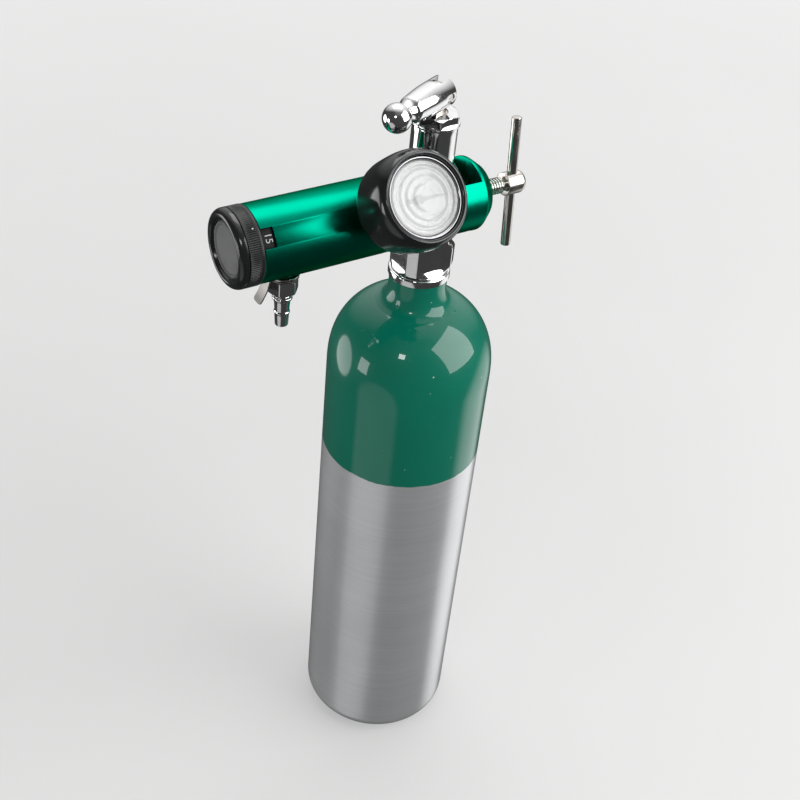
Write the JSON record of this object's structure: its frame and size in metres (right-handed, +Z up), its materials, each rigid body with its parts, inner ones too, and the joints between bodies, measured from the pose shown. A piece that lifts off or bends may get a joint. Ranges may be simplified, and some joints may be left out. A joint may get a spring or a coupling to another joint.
{
  "type": "oxygen cylinder",
  "caption": "Portable medical oxygen cylinder with a toggle post valve and a yoke regulator carrying a gauge, a flow selector knob and a hose barb outlet.",
  "frame": {"origin": "centre of the cylinder's flat base", "axes": "+Z up along the cylinder's axis; the regulator lies along X, its flow knob towards -X and its yoke screw towards +X; the gauge faces -Y and upwards"},
  "size_m": [0.1533, 0.0906, 0.3923],
  "materials": {
    "painted_shell": "gloss green shoulder over a bare brushed aluminium wall",
    "chrome": "polished",
    "steel": "nickel plated",
    "brass": "machined",
    "sintered_bronze": "sintered",
    "green_anodised": "bright green anodised",
    "rubber": "semi-gloss",
    "black_plastic": "satin",
    "black_gloss": "gloss",
    "nylon": "moulded",
    "clear_lens": "clear",
    "white_dial": "enamelled"
  },
  "bodies": {
    "cylinder": {"cylinder_shell": "painted_shell", "neck_o_ring": "rubber", "debris_tube": "brass", "valve_body": "chrome", "burst_disc": "brass", "safety_plug": "brass", "packing_nut": "chrome", "packing_washer": "nylon", "stem_o_ring": "rubber"},
    "valve_stem": {"valve_stem": "steel"},
    "seat_plug": {"seat_plug": "brass", "valve_seat_disc": "nylon"},
    "lever": {"toggle_lever": "chrome", "lever_pin": "steel"},
    "regulator": {"regulator_body": "green_anodised", "inlet_nipple": "brass", "inlet_filter": "sintered_bronze", "yoke_washer": "brass", "index_pin_1": "steel", "index_pin_2": "steel", "piston_spring": "steel", "flow_block": "brass", "port_o_ring": "rubber", "detent_spring": "steel", "outlet_fitting": "chrome", "outlet_seal": "steel", "outlet_tab": "steel", "relief_cap": "chrome", "gauge_case": "brass", "gauge_boot": "rubber", "gauge_bezel": "chrome", "gauge_lens": "clear_lens", "gauge_dial": "white_dial", "bourdon_tube": "brass"},
    "screw_tip": {"screw_tip": "steel"},
    "yoke_screw": {"yoke_screw": "steel", "t_bar": "steel"},
    "piston": {"piston": "brass", "piston_o_ring": "rubber", "regulator_seat": "nylon"},
    "flow_knob": {"orifice_disc": "brass", "flow_drum": "black_plastic", "knob_ring": "black_plastic", "knob_cap": "black_gloss", "knob_screw": "steel"},
    "detent_ball": {"detent_ball": "steel"},
    "pointer": {"gauge_pointer": "black_plastic", "pointer_pinion": "brass"},
    "sector": {"sector_gear": "brass"}
  },
  "joints": [
    {"name": "valve_stem_turn", "type": "hinge", "parent": "cylinder", "child": "valve_stem", "pos_m": [0, 0, 0.3853], "axis": [0, 0, 1], "range_deg": [0, 450]},
    {"name": "seat_plug_travel", "type": "slide", "parent": "valve_stem", "child": "seat_plug", "axis": [0, 0, 1], "range_m": [0, 0.0019]},
    {"name": "lever_fold", "type": "hinge", "parent": "valve_stem", "child": "lever", "pos_m": [0, 0, 0.3853], "axis": [-0.4226, 0.9063, 0], "range_deg": [0, 180]},
    {"name": "screw_turn", "type": "hinge", "parent": "screw_tip", "child": "yoke_screw", "pos_m": [0.0472, 0, 0.3325], "axis": [1, 0, 0], "range_deg": [0, 1440]},
    {"name": "screw_travel", "type": "slide", "parent": "regulator", "child": "screw_tip", "axis": [1, 0, 0], "range_m": [0, 0.00564]},
    {"name": "regulator_draw", "type": "slide", "parent": "cylinder", "child": "regulator", "axis": [-1, 0, 0], "range_m": [0, 0.00564]},
    {"name": "flow_knob_turn", "type": "hinge", "parent": "regulator", "child": "flow_knob", "pos_m": [-0.095, 0, 0.3325], "axis": [1, 0, 0], "range_deg": [-330, 0]},
    {"name": "detent_ball_press", "type": "slide", "parent": "regulator", "child": "detent_ball", "axis": [1, 0, 0], "range_m": [0, 0.0006], "stiffness_N_per_m": 200, "deforming": ["detent_spring"]},
    {"name": "piston_travel", "type": "slide", "parent": "regulator", "child": "piston", "axis": [1, 0, 0], "range_m": [0, 0.0006], "stiffness_N_per_m": 2000, "deforming": ["piston_spring"]},
    {"name": "sector_turn", "type": "hinge", "parent": "regulator", "child": "sector", "pos_m": [-0.0278, -0.00542, 0.32531], "axis": [0, -0.7986, 0.6018], "range_deg": [-18, 18], "stiffness_Nm_per_rad": 0.0002},
    {"name": "pointer_turn", "type": "hinge", "parent": "regulator", "child": "pointer", "pos_m": [-0.0278, 0, 0.3325], "axis": [0, -0.7986, 0.6018], "range_deg": [-136, 136]}
  ],
  "couplings": [
    {"joint": "seat_plug_travel", "follows": "valve_stem_turn", "m_per_rad": 0.00023873},
    {"joint": "screw_travel", "follows": "regulator_draw", "ratio": 1},
    {"joint": "screw_turn", "follows": "regulator_draw", "rad_per_m": 4453},
    {"joint": "pointer_turn", "follows": "sector_turn", "ratio": -7.5}
  ]
}
